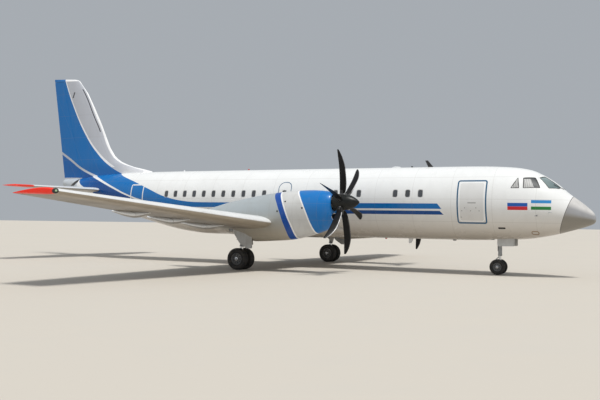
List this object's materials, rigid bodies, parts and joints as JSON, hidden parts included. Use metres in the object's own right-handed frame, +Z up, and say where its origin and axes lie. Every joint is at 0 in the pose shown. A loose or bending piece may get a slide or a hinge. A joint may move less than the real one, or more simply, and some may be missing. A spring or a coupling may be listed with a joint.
{
  "type": "twin-engine turboprop airliner",
  "caption": "Low-wing regional turboprop airliner parked on its twin-wheel tricycle gear, with swept fin, low tailplane, turning propellers, hinged control surfaces, flaps and airstair door.",
  "frame": {"origin": "middle of the overall length, on the centre line, on the floor under the tyres", "axes": "+X to the nose, +Y to port, +Z up"},
  "size_m": [26.877, 30, 9.186],
  "materials": {
    "white_paint": "gloss paint over aluminium skin",
    "azure_paint": "gloss paint",
    "blue_paint": "gloss paint",
    "grey_paint": "satin paint",
    "radome_paint": "satin paint over glass-fibre",
    "bare_steel": "machined and plated",
    "hub_alloy": "dark painted alloy",
    "blade_composite": "black composite",
    "spinner_grey": "dark grey paint",
    "tyre_rubber": "worn rubber",
    "glazing": "tinted laminated glass",
    "tail_white": "gloss paint over light skin",
    "tail_grey": "gloss paint over light skin",
    "tail_blue": "gloss paint over light skin",
    "red_paint": "gloss paint"
  },
  "bodies": {
    "airframe": {"outer_wing_left": "white_paint", "outer_wing_right": "white_paint", "wing_tip_left": "red_paint", "wing_tip_right": "red_paint", "radome": "radome_paint", "forward_fuselage": "white_paint", "cockpit_glazing": "glazing", "baggage_door": "white_paint", "centre_fuselage": "white_paint", "centre_wing": "white_paint", "exit_hatch_left": "white_paint", "exit_hatch_right": "white_paint", "rear_fuselage": "blue_paint", "service_door": "blue_paint", "fin": "tail_grey", "tail_cone": "tail_grey", "tailplane_left": "tail_white", "tailplane_right": "tail_white", "nacelle_left": "azure_paint", "nacelle_right": "azure_paint", "engine_left": "bare_steel", "engine_right": "bare_steel", "main_leg_left": "bare_steel", "main_leg_right": "bare_steel", "main_axle_left": "bare_steel", "main_axle_right": "bare_steel", "main_door_outer_left": "grey_paint", "main_door_outer_right": "grey_paint", "main_door_inner_left": "grey_paint", "main_door_inner_right": "grey_paint", "nose_leg": "bare_steel", "nose_door_left": "grey_paint", "nose_door_right": "grey_paint"},
    "propeller_left": {"propeller_left": "blade_composite", "spinner_left": "spinner_grey"},
    "main_wheels_left": {"main_outer_left_tyre": "tyre_rubber", "main_outer_left_hub": "hub_alloy", "main_inner_left_tyre": "tyre_rubber", "main_inner_left_hub": "hub_alloy"},
    "outer_flap_left": {"outer_flap_left": "white_paint"},
    "inner_flap_left": {"inner_flap_left": "white_paint"},
    "aileron_left": {"aileron_left": "white_paint"},
    "elevator_left": {"elevator_left": "tail_white"},
    "propeller_right": {"propeller_right": "blade_composite", "spinner_right": "spinner_grey"},
    "main_wheels_right": {"main_outer_right_tyre": "tyre_rubber", "main_outer_right_hub": "hub_alloy", "main_inner_right_tyre": "tyre_rubber", "main_inner_right_hub": "hub_alloy"},
    "outer_flap_right": {"outer_flap_right": "white_paint"},
    "inner_flap_right": {"inner_flap_right": "white_paint"},
    "aileron_right": {"aileron_right": "white_paint"},
    "elevator_right": {"elevator_right": "tail_white"},
    "nose_steering": {"nose_fork": "bare_steel"},
    "nose_wheels": {"nose_left_tyre": "tyre_rubber", "nose_left_hub": "hub_alloy", "nose_right_tyre": "tyre_rubber", "nose_right_hub": "hub_alloy"},
    "rudder": {"rudder": "tail_blue"},
    "entry_door": {"entry_door": "white_paint"}
  },
  "joints": [
    {"name": "propeller_left_spin", "type": "hinge", "parent": "airframe", "child": "propeller_left", "pos_m": [5.0615, 4.2, 2.66], "axis": [1, 0, 0], "continuous": true},
    {"name": "main_wheels_left_spin", "type": "hinge", "parent": "airframe", "child": "main_wheels_left", "pos_m": [0.7525, 4.2, 0.42295], "axis": [0, 1, 0], "continuous": true},
    {"name": "outer_flap_left_hinge", "type": "hinge", "parent": "airframe", "child": "outer_flap_left", "pos_m": [0.34317, 8.2, 1.83012], "axis": [-0.0134, -0.996, -0.088], "range_deg": [0, 35]},
    {"name": "inner_flap_left_hinge", "type": "hinge", "parent": "airframe", "child": "inner_flap_left", "pos_m": [0.29886, 2.5, 1.53844], "axis": [0, -1, 0], "range_deg": [0, 35]},
    {"name": "aileron_left_hinge", "type": "hinge", "parent": "airframe", "child": "aileron_left", "pos_m": [0.2006, 10.83, 2.28543], "axis": [0.0283, 0.9967, 0.0765], "range_deg": [-20, 20]},
    {"name": "elevator_left_hinge", "type": "hinge", "parent": "airframe", "child": "elevator_left", "pos_m": [-10.80138, 0.83, 3.33], "axis": [0.0222, 0.9998, 0], "range_deg": [-20, 25]},
    {"name": "propeller_right_spin", "type": "hinge", "parent": "airframe", "child": "propeller_right", "pos_m": [5.0615, -4.2, 2.66], "axis": [1, 0, 0], "continuous": true},
    {"name": "main_wheels_right_spin", "type": "hinge", "parent": "airframe", "child": "main_wheels_right", "pos_m": [0.7525, -4.2, 0.42295], "axis": [0, 1, 0], "continuous": true},
    {"name": "outer_flap_right_hinge", "type": "hinge", "parent": "airframe", "child": "outer_flap_right", "pos_m": [0.34317, -8.2, 1.83012], "axis": [0.0134, -0.996, 0.088], "range_deg": [0, 35]},
    {"name": "inner_flap_right_hinge", "type": "hinge", "parent": "airframe", "child": "inner_flap_right", "pos_m": [0.29886, -2.5, 1.53844], "axis": [0, -1, 0], "range_deg": [0, 35]},
    {"name": "aileron_right_hinge", "type": "hinge", "parent": "airframe", "child": "aileron_right", "pos_m": [0.2006, -10.83, 2.28543], "axis": [-0.0283, 0.9967, -0.0765], "range_deg": [-20, 20]},
    {"name": "elevator_right_hinge", "type": "hinge", "parent": "airframe", "child": "elevator_right", "pos_m": [-10.80138, -0.83, 3.33], "axis": [-0.0222, 0.9998, 0], "range_deg": [-20, 25]},
    {"name": "nose_steering_turn", "type": "hinge", "parent": "airframe", "child": "nose_steering", "pos_m": [9.9385, 0, 0.8], "axis": [0, 0, 1], "range_deg": [-45, 45]},
    {"name": "nose_wheels_spin", "type": "hinge", "parent": "nose_steering", "child": "nose_wheels", "pos_m": [9.8825, 0, 0.29856], "axis": [0, 1, 0], "continuous": true},
    {"name": "rudder_hinge", "type": "hinge", "parent": "airframe", "child": "rudder", "pos_m": [-11.33717, 0, 3.9], "axis": [-0.2752, 0, 0.9614], "range_deg": [-25, 25]},
    {"name": "entry_door_hinge", "type": "hinge", "parent": "airframe", "child": "entry_door", "pos_m": [9.1385, 1.18381, 1.942], "axis": [-1, 0, 0], "range_deg": [0, 128]}
  ],
  "couplings": [
    {"joint": "outer_flap_right_hinge", "follows": "outer_flap_left_hinge", "ratio": 1},
    {"joint": "inner_flap_left_hinge", "follows": "outer_flap_left_hinge", "ratio": 1},
    {"joint": "inner_flap_right_hinge", "follows": "outer_flap_left_hinge", "ratio": 1},
    {"joint": "elevator_right_hinge", "follows": "elevator_left_hinge", "ratio": 1},
    {"joint": "aileron_right_hinge", "follows": "aileron_left_hinge", "ratio": -1}
  ]
}
